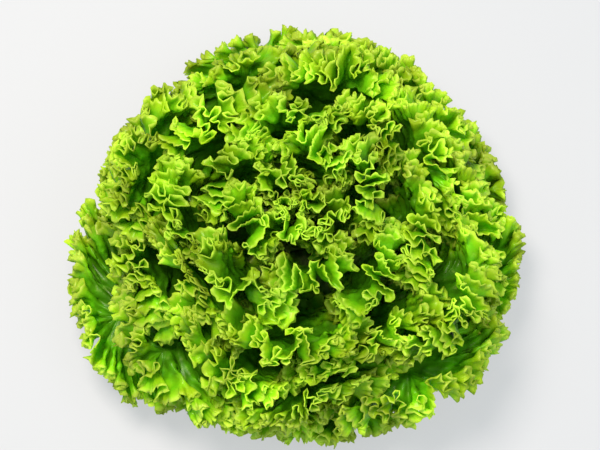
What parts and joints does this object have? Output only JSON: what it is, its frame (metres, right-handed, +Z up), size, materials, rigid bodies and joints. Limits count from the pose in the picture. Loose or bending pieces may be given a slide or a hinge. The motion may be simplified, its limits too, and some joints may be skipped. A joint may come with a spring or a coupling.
{
  "type": "lollo lettuce",
  "caption": "Loose round head of green lollo lettuce: tightly frilled leaves spiralling round a short cut stem, standing on its cut end.",
  "frame": {"origin": "centre of the stem's flat cut end, which rests on the surface", "axes": "+Z up along the stem; +X to the right and +Y away from the viewer in the view from above that the picture shows"},
  "size_m": [0.2696, 0.2614, 0.1371],
  "materials": {
    "stem": "pale cream-green, moist cut flesh",
    "outer_leaf": "fresh mid green leaf, satin, yellower at the frilled edge",
    "middle_leaf": "deeper green leaf, satin, bright yellow-green frilled edge",
    "heart_leaf": "young light green leaf, satin, bright yellow-green frilled edge"
  },
  "bodies": {
    "root": {"stem": "stem", "outer_leaf_01": "outer_leaf", "outer_leaf_02": "outer_leaf", "outer_leaf_03": "outer_leaf", "outer_leaf_04": "outer_leaf", "outer_leaf_05": "outer_leaf", "outer_leaf_06": "outer_leaf", "outer_leaf_07": "outer_leaf", "outer_leaf_08": "outer_leaf", "outer_leaf_09": "outer_leaf", "outer_leaf_10": "outer_leaf", "outer_leaf_11": "outer_leaf", "outer_leaf_12": "outer_leaf", "outer_leaf_13": "outer_leaf", "outer_leaf_14": "outer_leaf", "outer_leaf_15": "outer_leaf", "outer_leaf_16": "outer_leaf", "middle_leaf_01": "middle_leaf", "middle_leaf_02": "middle_leaf", "middle_leaf_03": "middle_leaf", "middle_leaf_04": "middle_leaf", "middle_leaf_05": "middle_leaf", "middle_leaf_06": "middle_leaf", "middle_leaf_07": "middle_leaf", "middle_leaf_08": "middle_leaf", "middle_leaf_09": "middle_leaf", "middle_leaf_10": "middle_leaf", "middle_leaf_11": "middle_leaf", "middle_leaf_12": "middle_leaf", "middle_leaf_13": "middle_leaf", "middle_leaf_14": "middle_leaf", "middle_leaf_15": "middle_leaf", "middle_leaf_16": "middle_leaf", "heart_leaf_01": "heart_leaf", "heart_leaf_02": "heart_leaf", "heart_leaf_03": "heart_leaf", "heart_leaf_04": "heart_leaf", "heart_leaf_05": "heart_leaf", "heart_leaf_06": "heart_leaf", "heart_leaf_07": "heart_leaf", "heart_leaf_08": "heart_leaf", "heart_leaf_09": "heart_leaf", "heart_leaf_10": "heart_leaf", "heart_leaf_11": "heart_leaf", "heart_leaf_12": "heart_leaf", "heart_leaf_13": "heart_leaf", "heart_leaf_14": "heart_leaf"}
  },
  "joints": []
}
